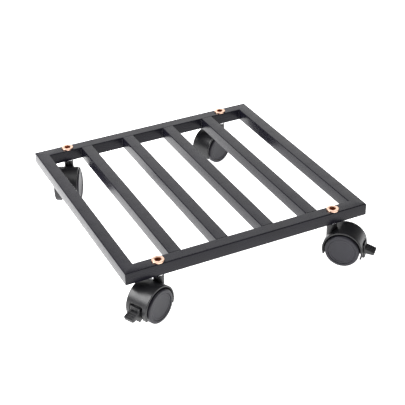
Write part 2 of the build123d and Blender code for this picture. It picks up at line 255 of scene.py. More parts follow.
class StandColours(PropertyGroup):
    """Colours of the finishes and of the floor."""

    coat: FloatVectorProperty(
        name="Powder Coat", description="Colour of the coated tube", subtype="COLOR",
        default=(0.0055, 0.0051, 0.0095), min=0.0, max=1.0)
    copper: FloatVectorProperty(
        name="Copper Plate", description="Colour of the sleeve nuts", subtype="COLOR",
        default=(0.80, 0.53, 0.40), min=0.0, max=1.0)
    zinc: FloatVectorProperty(
        name="Zinc Plate", description="Colour of the stems and axles", subtype="COLOR",
        default=(0.90, 0.90, 0.91), min=0.0, max=1.0)
    hood: FloatVectorProperty(
        name="Hood Nylon", description="Colour of the hoods and pedals", subtype="COLOR",
        default=(0.009, 0.009, 0.0105), min=0.0, max=1.0)
    wheel: FloatVectorProperty(
        name="Wheel Nylon", description="Colour of the wheels", subtype="COLOR",
        default=(0.017, 0.0163, 0.0225), min=0.0, max=1.0)
    floor: FloatVectorProperty(
        name="Floor", description="Colour of the floor", subtype="COLOR",
        default=(0.95, 0.95, 0.95), min=0.0, max=1.0)


class StandStageSizes(PropertyGroup):
    """Camera and lights."""

    lens: FloatProperty(
        name="Lens", description="Focal length of the camera in millimetres on a 36 mm sensor",
        default=91.48, min=20.0)
    sky: FloatProperty(name="Sky", description="Brightness of the room", default=0.15, min=0.0)
    key_power: FloatProperty(
        name="Key Power", description="Power of the large soft light overhead", default=12.0, min=0.0,
        subtype="POWER")
    side_power: FloatProperty(
        name="Side Power", description="Power of the soft light on the left", default=28.0, min=0.0,
        subtype="POWER")
    rear_power: FloatProperty(
        name="Rear Power", description="Power of the soft light at the back", default=8.0, min=0.0,
        subtype="POWER")


def sizes(context, group):
    """One group of this scene's settings."""
    return getattr(context.scene, f"stand_{group}")


# ---------------------------------------------------------------- mesh building

def new_object(name, data):
    """Object with its data, put in the scene."""
    item = bpy.data.objects.new(name, data)
    bpy.context.scene.collection.objects.link(item)
    return item


def new_piece(name, vertices, faces):
    """Object with a closed mesh, its doubles merged and its faces turned outwards."""
    mesh = bpy.data.meshes.new(name)
    mesh.from_pydata([tuple(vertex) for vertex in vertices], [], faces)
    piece = new_object(name, mesh)
    edit = bmesh.new()
    edit.from_mesh(mesh)
    bmesh.ops.remove_doubles(edit, verts=edit.verts, dist=MERGE_DISTANCE)
    bmesh.ops.recalc_face_normals(edit, faces=edit.faces)
    edit.to_mesh(mesh)
    edit.free()
    return piece


def arc(centre, radius, start, end, steps):
    """Points on an arc between two angles in degrees, ends included."""
    points = []
    for step in range(steps + 1):
        angle = math.radians(start + (end - start) * step / steps)
        points.append((centre[0] + radius * math.cos(angle), centre[1] + radius * math.sin(angle)))
    return points


def rounded_path(points, radii, steps=4, closed=False):
    """A path with its corners rounded: each corner has its own radius, and a radius of 0 stays sharp."""
    result = []
    count = len(points)
    for index, point in enumerate(points):
        radius = radii[index]
        if radius == 0 or (not closed and index in (0, count - 1)):
            result.append(tuple(point))
            continue
        corner = Vector(point)
        before = Vector(points[index - 1]) - corner
        after = Vector(points[(index + 1) % count]) - corner
        half = before.angle(after) / 2
        reach = radius / math.tan(half)
        middle = corner + (before.normalized() + after.normalized()).normalized() * radius / math.sin(half)
        first = corner + before.normalized() * reach - middle
        last = corner + after.normalized() * reach - middle
        for step in range(steps + 1):
            spoke = first.normalized().slerp(last.normalized(), step / steps)
            result.append(tuple(middle + spoke * radius))
    return result


def loft(name, loops, matrix):
    """Skin a row of equal loops. One point makes a pole; without poles the last loop joins the first."""
    vertices = []
    starts = []
    for loop in loops:
        starts.append(len(vertices))
        vertices.extend(matrix @ Vector(point) for point in loop)
    pairs = list(zip(range(len(loops) - 1), range(1, len(loops))))
    if len(loops[0]) > 1 and len(loops[-1]) > 1:
        pairs.append((len(loops) - 1, 0))
    faces = []
    for first, second in pairs:
        count = max(len(loops[first]), len(loops[second]))
        for index in range(count):
            following = (index + 1) % count
            if len(loops[first]) == 1:
                faces.append((starts[first], starts[second] + index, starts[second] + following))
            elif len(loops[second]) == 1:
                faces.append((starts[first] + index, starts[second], starts[first] + following))
            else:
                faces.append((starts[first] + index, starts[second] + index,
                              starts[second] + following, starts[first] + following))
    return new_piece(name, vertices, faces)


def ring(height, radii):
    """Loop about the local Z axis with a radius for each point, or one point where the radius is nothing."""
    if radii[0] < POLE_RADIUS:
        return [(0.0, 0.0, height)]
    count = len(radii)
    return [(radius * math.cos(math.tau * index / count), radius * math.sin(math.tau * index / count),
             height) for index, radius in enumerate(radii)]


def lathe(name, profile, matrix, segments=96):
    """Turned piece about the local Z axis from (height, radius) points, closed or between two poles."""
    return loft(name, [ring(height, [radius] * segments) for height, radius in profile], matrix)


def drill(low, high, radius, matrix):
    """Plain round cutter about the local Z axis."""
    return lathe("drill", [(low, 0), (low, radius), (high, radius), (high, 0)], matrix, 48)


def prism(name, outline, low, high, matrix):
    """Solid with a flat outline in the castor's side plane, between two distances along the axle."""
    count = len(outline)
    vertices = [matrix @ Vector((x, low, z)) for x, z in outline]
    vertices += [matrix @ Vector((x, high, z)) for x, z in outline]
    faces = [tuple(range(count)), tuple(range(2 * count - 1, count - 1, -1))]
    for index in range(count):
        following = (index + 1) % count
        faces.append((index, following, following + count, index + count))
    return new_piece(name, vertices, faces)


def rounded_square(size, corner, steps=5):
    """Points of a square with rounded corners about the origin, the same number whatever its size."""
    half = size / 2
    corners = [(half, half), (-half, half), (-half, -half), (half, -half)]
    return rounded_path(corners, [corner] * 4, steps, closed=True)


def bake(piece):
    """Apply a piece's modifiers to its mesh."""
    depsgraph = bpy.context.evaluated_depsgraph_get()
    mesh = bpy.data.meshes.new_from_object(piece.evaluated_get(depsgraph))
    piece.modifiers.clear()
    piece.data = mesh
    mesh.name = piece.name
    return piece


def discard(piece):
    """Remove a helper object."""
    bpy.data.objects.remove(piece)


def cut(piece, cutter):
    """Cut a helper out of a piece and remove the helper."""
    boolean = piece.modifiers.new("Cut", "BOOLEAN")
    boolean.operation = "DIFFERENCE"
    boolean.solver = "EXACT"
    boolean.object = cutter
    bake(piece)
    discard(cutter)
    return piece


def soften(piece, width, steps=3, angle=40.0, clamp=True):
    """Round a piece's sharp edges as a mould does."""
    bevel = piece.modifiers.new("Edge Rounding", "BEVEL")
    bevel.width = width
    bevel.segments = steps
    bevel.limit_method = "ANGLE"
    bevel.angle_limit = math.radians(angle)
    bevel.use_clamp_overlap = clamp
    return bake(piece)


def join(name, pieces):
    """Join several closed solids into one object."""
    edit = bmesh.new()
    for piece in pieces:
        edit.from_mesh(piece.data)
    mesh = bpy.data.meshes.new(name)
    edit.to_mesh(mesh)
    edit.free()
    for piece in pieces:
        discard(piece)
    return new_object(name, mesh)


def finish_piece(piece, slot, body, nodes, crease=35.0):
    """Shade a piece, give it its finish, and set what it rides on and stands for."""
    mesh = piece.data
    mesh.materials.clear()
    mesh.materials.append(finish_for(bpy.context, slot))
    for polygon in mesh.polygons:
        polygon.material_index = 0
        polygon.use_smooth = True
    mesh.set_sharp_from_angle(angle=math.radians(crease))
    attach(piece, body)
    if nodes:
        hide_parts(*nodes)


# ---------------------------------------------------------------- where the castors stand

def castor_frame(name):
    """Place of a castor: origin on the floor under its stem, X forward to the axle, Y along the axle."""
    swivel = Vector(JOINTS[f"{name}_swivel"]["pos_m"])
    along = Vector(JOINTS[f"{name}_left_spin"]["axis"]).normalized()
    forward = along.cross(Vector((0, 0, 1)))
    place = Matrix.Identity(4)
    place.col[0][:3] = forward
    place.col[1][:3] = along
    place.col[2][:3] = (0, 0, 1)
    place.col[3][:3] = (swivel.x, swivel.y, 0)
    return place


def castor_trail(name):
    """Distance from a castor's stem to its axle."""
    local = castor_frame(name).inverted() @ Vector(JOINTS[f"{name}_left_spin"]["pos_m"])
    return local.x


def axle_frame(name, side, wheel_radius):
    """Place of one wheel: Z runs outwards along the axle, from the castor's middle."""
    turn = Matrix(((1, 0, 0), (0, 0, side), (0, -side, 0))).to_4x4()
    return castor_frame(name) @ Matrix.Translation((castor_trail(name), 0, wheel_radius)) @ turn


def wheel_places(castor):
    """Every wheel's name with its place."""
    for name in CASTOR_NAMES:
        for wheel_name, side in (("left", 1), ("right", -1)):
            yield f"{name}_{wheel_name}", axle_frame(name, side, castor.wheel_radius)


def polar(name, castor, radius, angle):
    """Point in a castor's side plane at a radius and an angle in degrees about the axle."""
    turn = math.radians(angle)
    return (castor_trail(name) + radius * math.cos(turn), castor.wheel_radius + radius * math.sin(turn))


def sector_outline(name, castor, inner, outer, start, end, steps=10):
    """Outline of part of a ring about the axle."""
    centre = (castor_trail(name), castor.wheel_radius)
    return arc(centre, outer, start, end, steps) + arc(centre, inner, end, start, steps)


# ---------------------------------------------------------------- finishes

class Finish:
    """Small builder for a node material on Object coordinates."""

    def __init__(self, name):
        self.material = bpy.data.materials.new(name)
        self.material.use_nodes = True
        self.tree = self.material.node_tree
        self.shader = self.tree.nodes["Principled BSDF"]
        self.coordinates = self.add("ShaderNodeTexCoord", -1400, 0).outputs["Object"]

    def add(self, kind, x, y, **settings):
        """Add a node and set its inputs by name, or its own settings."""
        node = self.tree.nodes.new(kind)
        node.location = (x, y)
        for key, value in settings.items():
            socket = key.replace("_", " ").title()
            if socket in node.inputs:
                node.inputs[socket].default_value = value
            else:
                setattr(node, key, value)
        return node

    def link(self, output, target):
        """Join two sockets."""
        self.tree.links.new(output, target)

    def set(self, **values):
        """Set plain inputs of the shader by name."""
        for name, value in values.items():
            self.shader.inputs[name.replace("_", " ")].default_value = value

    def noise(self, x, y, scale, detail=2.0, roughness=0.5, stretch=None):
        """Noise at a scale in cells per metre, stretched along an axis if asked."""
        node = self.add("ShaderNodeTexNoise", x, y, scale=scale, detail=detail, roughness=roughness)
        source = self.coordinates
        if stretch:
            mapping = self.add("ShaderNodeMapping", x - 200, y)
            mapping.inputs["Scale"].default_value = stretch
            self.link(self.coordinates, mapping.inputs["Vector"])
            source = mapping.outputs["Vector"]
        self.link(source, node.inputs["Vector"])
        return node.outputs["Fac"]

    def span(self, x, y, value, low, high, start=0.3, stop=0.7):
        """Map noise to a range of values."""
        node = self.add("ShaderNodeMapRange", x, y)
        node.inputs["From Min"].default_value = start
        node.inputs["From Max"].default_value = stop
        node.inputs["To Min"].default_value = low
        node.inputs["To Max"].default_value = high
        self.link(value, node.inputs["Value"])
        return node.outputs["Result"]

    def tint(self, x, y, value, dark, light):
        """Colour that runs between two shades with a value."""
        ramp = self.add("ShaderNodeValToRGB", x, y)
        ramp.color_ramp.elements[0].position = 0.3
        ramp.color_ramp.elements[1].position = 0.7
        ramp.color_ramp.elements[0].color = (*dark, 1)
        ramp.color_ramp.elements[1].color = (*light, 1)
        self.link(value, ramp.inputs["Fac"])
        self.link(ramp.outputs["Color"], self.shader.inputs["Base Color"])

    def gloss(self, value, low, high):
        """Let noise vary the roughness between two values."""
        self.link(self.span(-300, 0, value, low, high), self.shader.inputs["Roughness"])

    def bumps(self, layers):
        """Stack bump layers, each (height, strength, distance in metres), the broadest first."""
        normal = None
        for index, (height, strength, distance) in enumerate(layers):
            bump = self.add("ShaderNodeBump", -400 + 200 * index, -400, strength=strength, distance=distance)
            self.link(height, bump.inputs["Height"])
            if normal:
                self.link(normal, bump.inputs["Normal"])
            normal = bump.outputs["Normal"]
        self.link(normal, self.shader.inputs["Normal"])


def shade(colour, factor):
    """A colour made lighter or darker."""
    return tuple(min(1.0, part * factor) for part in colour)


def powder_coat(colour):
    """Semi-gloss black powder coat: fine orange peel, slight clouding and faint rubbed streaks."""
    finish = Finish("Powder Coat")
    cloud = finish.noise(-1000, 300, 26.0, 3.0, 0.6)
    peel = finish.noise(-1000, -100, 620.0, 2.0, 0.5)
    grit = finish.noise(-1000, -400, 2600.0, 2.0, 0.6)
    streak = finish.noise(-1000, 0, 90.0, 3.0, 0.6, (1.0, 1.0, 7.0))
    finish.tint(-300, 300, cloud, shade(colour, 0.82), shade(colour, 1.25))
    finish.gloss(streak, 0.17, 0.32)
    finish.bumps([(peel, 0.22, 0.00025), (grit, 0.10, 0.00008)])
    finish.set(Specular_IOR_Level=0.2)
    return finish.material


def plated_metal(name, colour, dark, roughness, polish):
    """Bright plating with drawn marks and slight tarnish; a Finish, so that more can be added to it."""
    finish = Finish(name)
    tarnish = finish.noise(-1000, 300, 420.0, 3.0, 0.6)
    marks = finish.noise(-1000, -200, 1500.0, 3.0, 0.6, (1.0, 1.0, 6.0))
    finish.tint(-300, 300, tarnish, shade(colour, dark), colour)
    finish.gloss(marks, roughness - polish, roughness + polish)
    finish.bumps([(marks, 0.06, 0.00005)])
    finish.set(Metallic=1.0)
    return finish


def copper_plate(colour, nut_sizes):
    """Copper-coloured plating with painted shade inside the sleeve nuts' sockets: a dull brown that stands
    in for the shade there.
    """
    finish = plated_metal("Copper Plate", colour, 0.86, 0.30, 0.06)
    swivel = Vector(JOINTS["rear_right_swivel"]["pos_m"]) - MIDDLE
    steps = [("SUBTRACT", MIDDLE), ("ABSOLUTE", None), ("SUBTRACT", (swivel.x, swivel.y, 0)),
             ("MULTIPLY", (1, 1, 0))]
    source = finish.coordinates
    for index, (operation, value) in enumerate(steps):
        node = finish.add("ShaderNodeVectorMath", -1200 + 150 * index, 700, operation=operation)
        if value is not None:
            node.inputs[1].default_value = value
        finish.link(source, node.inputs[0])
        source = node.outputs[0]
    distance = finish.add("ShaderNodeVectorMath", -500, 700, operation="LENGTH")
    finish.link(source, distance.inputs[0])
    corner = nut_sizes.socket_flats / math.sqrt(3)
    outside = finish.span(-300, 700, distance.outputs["Value"], 0.0, 1.0, corner, corner + SOCKET_BLEND)
    split = finish.add("ShaderNodeSeparateXYZ", -500, 900)
    finish.link(finish.coordinates, split.inputs[0])
    top = DECK + nut_sizes.flange_height
    low, high = (top - depth for depth in SOCKET_SHADE_DEPTHS)
    above = finish.span(-300, 900, split.outputs["Z"], 0.0, 1.0, low, high)
    unshaded = finish.add("ShaderNodeMath", -100, 800, operation="MAXIMUM")
    finish.link(outside, unshaded.inputs[0])
    finish.link(above, unshaded.inputs[1])
    # Painted shade: within the socket's corner radius and below the flange top, the plating colour gives way
    # to a dull brown that stands in for the shade in the recess
    plating = finish.shader.inputs["Base Color"].links[0].from_socket
    mix = finish.add("ShaderNodeMix", 0, 500, data_type="RGBA")
    for socket in mix.inputs:
        if socket.identifier == "A_Color":
            socket.default_value = SOCKET_PAINTED_SHADE
        if socket.identifier == "B_Color":
            finish.link(plating, socket)
    finish.link(unshaded.outputs[0], mix.inputs[0])
    plating_with_painted_shade = next(socket for socket in mix.outputs if socket.identifier == "Result_Color")
    finish.link(plating_with_painted_shade, finish.shader.inputs["Base Color"])
    return finish.material


def moulded_nylon(name, colour, roughness, grain, specular):
    """Black moulded nylon: fine spark-eroded grain, and flow marks that change its gloss a little."""
    finish = Finish(name)
    flow = finish.noise(-1000, 300, 75.0, 3.0, 0.55, (1.0, 1.0, 0.5))
    texture = finish.noise(-1000, -200, 2400.0, 3.0, 0.65)
    ripple = finish.noise(-1000, -500, 240.0, 2.0, 0.5)
    finish.tint(-300, 300, flow, shade(colour, 0.85), shade(colour, 1.2))
    finish.gloss(flow, roughness - 0.05, roughness + 0.06)
    finish.bumps([(ripple, 0.08, 0.0002), (texture, grain, 0.00008)])
    finish.set(Specular_IOR_Level=specular)
    return finish.material


def floor_paint(colour):
    """Plain pale floor, evenly lit, with hardly any grain."""
    finish = Finish("Studio Floor")
    grain = finish.noise(-1000, 0, 40.0, 2.0, 0.5)
    finish.tint(-300, 300, grain, shade(colour, 0.995), colour)
    finish.set(Roughness=0.9, Specular_IOR_Level=0.1, Emission_Color=(1, 1, 1, 1), Emission_Strength=1.35)
    return finish.material


FINISH_MAKERS = {
    "black_powder_coat": lambda colours, nuts: powder_coat(colours.coat),
    "copper_plate": lambda colours, nuts: copper_plate(colours.copper, nuts),
    "zinc_plate": lambda colours, nuts: plated_metal("Zinc Plate", colours.zinc, 0.88, 0.38, 0.06).material,
    "hood_nylon": lambda colours, nuts: moulded_nylon("Hood Nylon", colours.hood, 0.34, 0.10, 0.42),
    "wheel_nylon": lambda colours, nuts: moulded_nylon("Wheel Nylon", colours.wheel, 0.42, 0.12, 0.32),
}
made_finishes = {}


def finish_for(context, slot):
    """The material of a record slot, made once."""
    if slot not in made_finishes:
        made_finishes[slot] = FINISH_MAKERS[slot](sizes(context, "colours"), sizes(context, "frame_sizes"))
    return made_finishes[slot]


# ---------------------------------------------------------------- geometry nodes

class NodeRecipe:
    """Small builder for a geometry node tree with named inputs."""

    def __init__(self, name, takes_geometry=False):
        self.tree = bpy.data.node_groups.new(name, "GeometryNodeTree")
        self.tree.interface.new_socket("Geometry", in_out="OUTPUT", socket_type="NodeSocketGeometry")
        if takes_geometry:
            self.tree.interface.new_socket("Geometry", in_out="INPUT", socket_type="NodeSocketGeometry")
        self.group_input = self.tree.nodes.new("NodeGroupInput")
        self.output = self.tree.nodes.new("NodeGroupOutput")
        self.values = {}

    def sizes(self, *entries):
        """Named inputs of the tree from (name, kind, value) entries, with the values for this piece."""
        for name, kind, value in entries:
            socket = self.tree.interface.new_socket(name, in_out="INPUT", socket_type=f"NodeSocket{kind}")
            self.values[socket.identifier] = value
        return [self.group_input.outputs[entry[0]] for entry in entries]

    def add(self, kind, inputs=None, **settings):
        """Add a node with its own settings, and feed its inputs from sockets or plain values."""
        node = self.tree.nodes.new(kind)
        for key, value in settings.items():
            setattr(node, key, value)
        for key, value in (inputs or {}).items():
            if isinstance(value, bpy.types.NodeSocket):
                self.tree.links.new(value, node.inputs[key])
            else:
                node.inputs[key].default_value = value
        return node

    def vector(self, x=0.0, y=0.0, z=0.0):
        """Vector put together from sockets or numbers."""
        return self.add("ShaderNodeCombineXYZ", {0: x, 1: y, 2: z}).outputs[0]

    def math(self, operation, first, second):
        """Arithmetic on two sockets or numbers."""
        return self.add("ShaderNodeMath", {0: first, 1: second}, operation=operation).outputs[0]

    def vector_math(self, operation, first, second, key=1):
        """Vector arithmetic on two sockets or values."""
        return self.add("ShaderNodeVectorMath", {0: first, key: second}, operation=operation).outputs[0]

    def row(self, count, offset, first=(0.0, 0.0, 0.0)):
        """Row of points."""
        inputs = {"Count": count, "Start Location": first, "Offset": offset}
        return self.add("GeometryNodeMeshLine", inputs, mode="OFFSET").outputs["Mesh"]

    def copies(self, points, instance, **inputs):
        """A copy of a shape at every point."""
        inputs = {"Points": points, "Instance": instance, **inputs}
        return self.add("GeometryNodeInstanceOnPoints", inputs).outputs[0]

    def facing(self, vector, pivot):
        """Rotation about one axis that turns X towards a vector."""
        node = self.add("FunctionNodeAlignRotationToVector", {"Vector": vector}, axis="X", pivot_axis=pivot)
        return node.outputs[0]

    def close(self, geometry):
        """Realize what was made, set its material and send it out."""
        material = self.sizes(("Material", "Material", None))[0]
        self.material_key = list(self.values)[-1]
        realize = self.add("GeometryNodeRealizeInstances", {0: geometry})
        paint = self.add("GeometryNodeSetMaterial", {"Geometry": realize.outputs[0], "Material": material})
        self.tree.links.new(paint.outputs[0], self.output.inputs[0])

    def make(self, name, material, points=()):
        """Run the tree and keep its result as a plain mesh object."""
        mesh = bpy.data.meshes.new(name)
        mesh.from_pydata([tuple(point) for point in points], [], [])
        piece = new_object(name, mesh)
        modifier = piece.modifiers.new(self.tree.name, "NODES")
        modifier.node_group = self.tree
        self.values[self.material_key] = material
        for identifier, value in self.values.items():
            modifier[identifier] = value
        return bake(piece)


def tube_row_recipe(count, pitch, first, length, tube, corner):
    """Row of parallel square tubes along Y: a rounded square swept along a line, repeated in X."""
    recipe = NodeRecipe("Tube Row")
    count, pitch, first, length, tube, corner = recipe.sizes(
        ("Tube Count", "Int", count), ("Pitch", "Float", pitch), ("First Middle", "Vector", first),
        ("Length", "Float", length), ("Tube Size", "Float", tube), ("Corner Radius", "Float", corner))
    square = recipe.add("GeometryNodeCurvePrimitiveQuadrilateral", {"Width": tube, "Height": tube})
    fillet = recipe.add("GeometryNodeFilletCurve",
                        {"Curve": square.outputs["Curve"], "Radius": corner, "Count": 5}, mode="POLY")
    line = recipe.add("GeometryNodeCurvePrimitiveLine",
                      {"Start": recipe.vector(y=recipe.math("MULTIPLY", length, -0.5)),
                       "End": recipe.vector(y=recipe.math("MULTIPLY", length, 0.5))})
    sweep = recipe.add("GeometryNodeCurveToMesh",
                       {"Curve": line.outputs["Curve"], "Profile Curve": fillet.outputs["Curve"],
                        "Fill Caps": True})
    row = recipe.row(count, recipe.vector(x=pitch), first)
    recipe.close(recipe.copies(row, sweep.outputs["Mesh"]))
    return recipe


def weld_bead_recipe(ripples, height, radius, seed):
    """Upright weld beads: a stack of uneven overlapping ripples at each given point."""
    recipe = NodeRecipe("Weld Beads", takes_geometry=True)
    ripples, height, radius, seed = recipe.sizes(
        ("Ripple Count", "Int", ripples), ("Bead Height", "Float", height),
        ("Ripple Radius", "Float", radius), ("Seed", "Int", seed))
    gap = recipe.math("DIVIDE", height, recipe.math("SUBTRACT", ripples, 1.0))
    stack = recipe.row(ripples, recipe.vector(z=gap))
    bases = recipe.copies(recipe.group_input.outputs["Geometry"], stack)
    rows = recipe.add("GeometryNodeRealizeInstances", {0: bases})
    ripple = recipe.add("GeometryNodeMeshUVSphere", {"Segments": 14, "Rings": 8, "Radius": radius})
    unevenness = recipe.add("FunctionNodeRandomValue",
                            {"Min": (0.86, 0.86, 0.62), "Max": (1.06, 1.06, 0.8), "Seed": seed},
                            data_type="FLOAT_VECTOR")
    recipe.close(recipe.copies(rows.outputs[0], ripple.outputs["Mesh"], Scale=unevenness.outputs["Value"]))
    return recipe


def wheel_rib_recipe(count, inner, outer, thickness, depth, low):
    """Flat ribs set round a wheel's hub, in the wheel's own place."""
    recipe = NodeRecipe("Wheel Ribs")
    count, inner, outer, thickness, depth, low = recipe.sizes(
        ("Rib Count", "Int", count), ("Inner Radius", "Float", inner), ("Outer Radius", "Float", outer),
        ("Rib Thickness", "Float", thickness), ("Rib Depth", "Float", depth), ("Inner Face", "Float", low))
    middle = recipe.math("MULTIPLY", recipe.math("ADD", inner, outer), 0.5)
    ring = recipe.add("GeometryNodeMeshCircle", {"Vertices": count, "Radius": middle})
    lift = recipe.math("ADD", low, recipe.math("MULTIPLY", depth, 0.5))
    raised = recipe.add("GeometryNodeTransform",
                        {"Geometry": ring.outputs["Mesh"], "Translation": recipe.vector(z=lift)})
    size = recipe.vector(recipe.math("SUBTRACT", outer, inner), thickness, depth)
    rib = recipe.add("GeometryNodeMeshCube", {"Size": size})
    position = recipe.add("GeometryNodeInputPosition")
    flat = recipe.vector_math("MULTIPLY", position.outputs[0], (1, 1, 0))
    recipe.close(recipe.copies(raised.outputs[0], rib.outputs["Mesh"], Rotation=recipe.facing(flat, "Z")))
    return recipe


def groove_recipe(count, start, end, width, depth, length):
    """Bars spaced evenly along a sloping line, which cut the grip grooves in a pedal."""
    recipe = NodeRecipe("Grip Grooves")
    count, start, end, width, depth, length = recipe.sizes(
        ("Groove Count", "Int", count), ("Line Start", "Vector", start), ("Line End", "Vector", end),
        ("Groove Width", "Float", width), ("Groove Depth", "Float", depth),
        ("Groove Length", "Float", length))
    span = recipe.vector_math("SUBTRACT", end, start)
    share = recipe.math("DIVIDE", 1.0, recipe.math("ADD", count, 1.0))
    step = recipe.vector_math("SCALE", span, share, "Scale")
    row = recipe.row(count, step, recipe.vector_math("ADD", start, step))
    size = recipe.vector(width, length, recipe.math("MULTIPLY", depth, 2.0))
    bar = recipe.add("GeometryNodeMeshCube", {"Size": size})
    recipe.close(recipe.copies(row, bar.outputs["Mesh"], Rotation=recipe.facing(span, "Y")))
    return recipe


# ---------------------------------------------------------------- frame pieces

def mitred_rail(name, axis, side, sizes_group):
    """Hollow square tube along X or Y on one side of the frame, mitred at both ends."""
    half = SIDE / 2
    centre = side * (half - TUBE / 2)
    middle = UNDERSIDE + TUBE / 2
    inner_size = TUBE - 2 * sizes_group.tube_wall
    loops = []
    for size, corner in ((TUBE, sizes_group.tube_corner), (inner_size, TUBE_INNER_CORNER)):
        ends = []
        for end in (-1, 1):
            loop = []
            for across, up in rounded_square(size, corner):
                from_outside = TUBE / 2 - side * across
                along = end * (half - from_outside)
                if axis == "X":
                    loop.append((along, centre + across, middle + up))
                else:
                    loop.append((centre + across, along, middle + up))
            ends.append(loop)
        loops.append(ends)
    outer, inner = loops
    return loft(name, [outer[0], outer[1], inner[1], inner[0]], Matrix.Translation(MIDDLE))


class STAND_OT_rails(Operator):
    """Make the four mitred rails of the frame, with holes for the sleeve nuts and stems"""

    bl_idname = "stand.rails"
    bl_label = "Rails"

    def execute(self, context):
        group = sizes(context, "frame_sizes")
        for name, axis, side in (("front_rail", "X", -1), ("rear_rail", "X", 1),
                                 ("left_rail", "Y", -1), ("right_rail", "Y", 1)):
            rail = mitred_rail(f"{name}_tube", axis, side, group)
            if axis == "X":
                for castor in CASTOR_NAMES:
                    place = castor_frame(castor)
                    if (place.translation.y - MIDDLE.y) * side < 0:
                        continue
                    cut(rail, drill(DECK - DRILL_DEPTH, DECK + OVERSHOOT, SLEEVE_HOLE_RADIUS, place))
                    cut(rail, drill(UNDERSIDE - OVERSHOOT, UNDERSIDE + DRILL_DEPTH, STEM_HOLE_RADIUS,
                                        place))
            finish_piece(rail, "black_powder_coat", "frame", [name], 30.0)
        return {"FINISHED"}


class STAND_OT_slats(Operator):
    """Make the row of slats between the front and rear rails"""

    bl_idname = "stand.slats"
    bl_label = "Slats"

    def execute(self, context):
        group = sizes(context, "frame_sizes")
        material = finish_for(context, "black_powder_coat")
        first = ((slat_low.x + slat_high.x) / 2, MIDDLE.y, UNDERSIDE + TUBE / 2)
        recipe = tube_row_recipe(len(SLAT_NAMES), SLAT_PITCH, first, slat_high.y - slat_low.y, TUBE,
                                 group.tube_corner)
        slats = recipe.make("slat_tubes", material)
        finish_piece(slats, "black_powder_coat", "frame", SLAT_NAMES, 30.0)
        return {"FINISHED"}


class STAND_OT_welds(Operator):
    """Make the upright weld beads at the slat ends and in the frame's inner corners"""

    bl_idname = "stand.welds"
    bl_label = "Weld Beads"

    def execute(self, context):
        group = sizes(context, "frame_sizes")
        material = finish_for(context, "black_powder_coat")
        radius = group.weld_radius
        inset = WELD_INSET * radius
        margin = WELD_MARGIN + RIPPLE_REACH * radius
        base = UNDERSIDE + margin
        height = TUBE - 2 * margin
        inner = SIDE / 2 - TUBE
        sides = [(x_side, y_side) for x_side in (-1, 1) for y_side in (-1, 1)]
        slat_points = []
        for number in range(len(SLAT_NAMES)):
            middle = (slat_low.x + slat_high.x) / 2 + number * SLAT_PITCH
            slat_points += [(middle + x_side * (TUBE / 2 + inset), MIDDLE.y + y_side * (inner - inset), base)
                            for x_side, y_side in sides]
        corner_points = [(MIDDLE.x + x_side * (inner - inset), MIDDLE.y + y_side * (inner - inset), base)
                         for x_side, y_side in sides]
        for name, node, points in (("slat_weld_beads", "slat_welds", slat_points),
                                   ("corner_weld_beads", "corner_welds", corner_points)):
            recipe = weld_bead_recipe(group.weld_ripples, height, radius, group.weld_seed)
            beads = recipe.make(name, material, points)
            finish_piece(beads, "black_powder_coat", "frame", [node], 60.0)
        return {"FINISHED"}


class STAND_OT_nuts(Operator):
    """Make the four flanged sleeve nuts, each with a hexagon socket"""

    bl_idname = "stand.nuts"
    bl_label = "Sleeve Nuts"

    def execute(self, context):
        group = sizes(context, "frame_sizes")
        segments = 96
        top = DECK + group.flange_height
        floor = top - group.socket_depth
        sleeve_end = UNDERSIDE + group.tube_wall
        bore_end = sleeve_end + NUT_BORE_DEPTH
        round_part = [(bore_end, 0.0), (bore_end, NUT_BORE_RADIUS), (sleeve_end, NUT_BORE_RADIUS),
                      (sleeve_end, SLEEVE_RADIUS), (DECK, SLEEVE_RADIUS), (DECK, group.flange_radius)]
        for outwards, upwards in arc((0.0, 0.0), FLANGE_EDGE, 0.0, 90.0, 6):
            round_part.append((top - FLANGE_EDGE + upwards, group.flange_radius - FLANGE_EDGE + outwards))
        hexagon_part = [(top - depth, extra) for depth, extra in SOCKET_LEAD_IN] + [(floor, 0.0)]
        loops = [ring(height, [radius] * segments) for height, radius in round_part]
        for height, extra in hexagon_part:
            loops.append(ring(height, self.hexagon(group.socket_flats / 2 + extra, segments)))
        loops.append([(0.0, 0.0, floor - SOCKET_CONE)])
        nuts = [loft("nut", loops, castor_frame(castor)) for castor in CASTOR_NAMES]
        piece = join("sleeve_nuts", nuts)
        finish_piece(piece, "copper_plate", "frame", ["insert_nuts"], 40.0)
        return {"FINISHED"}

    @staticmethod
    def hexagon(apothem, count):
        """Radius of a hexagon in each of a number of directions."""
        sixth = math.tau / 6
        radii = []
        for index in range(count):
            offset = (math.tau * index / count) % sixth - sixth / 2
            radii.append(apothem / math.cos(offset))
        return radii


# ---------------------------------------------------------------- castor pieces

class STAND_OT_stems(Operator):
    """Make the zinc-plated castor stems with their collars"""

    bl_idname = "stand.stems"
    bl_label = "Stems"

    def execute(self, context):
        low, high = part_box("front_left_stem")
        collar = UNDERSIDE - COLLAR_HEIGHT
        groove_low, groove_high = PIN_GROOVE
        points = [(low.z, 0.0), (low.z, PIN_RADIUS), (groove_low, PIN_RADIUS),
                  (groove_low, PIN_GROOVE_RADIUS), (groove_high, PIN_GROOVE_RADIUS),
                  (groove_high, PIN_RADIUS), (collar, PIN_RADIUS), (collar, COLLAR_RADIUS),
                  (UNDERSIDE, COLLAR_RADIUS), (UNDERSIDE, THREAD_RADIUS), (high.z, THREAD_RADIUS),
                  (high.z, 0.0)]
        radii = [0, 0.0006, 0, 0, 0, 0, 0, 0.0003, 0.0003, 0, 0.0006, 0]
        profile = rounded_path(points, radii)
        for name in CASTOR_NAMES:
            stem = lathe(f"{name}_stem_turning", profile, castor_frame(name))
            finish_piece(stem, "zinc_plate", "frame", [f"{name}_stem"])
        return {"FINISHED"}


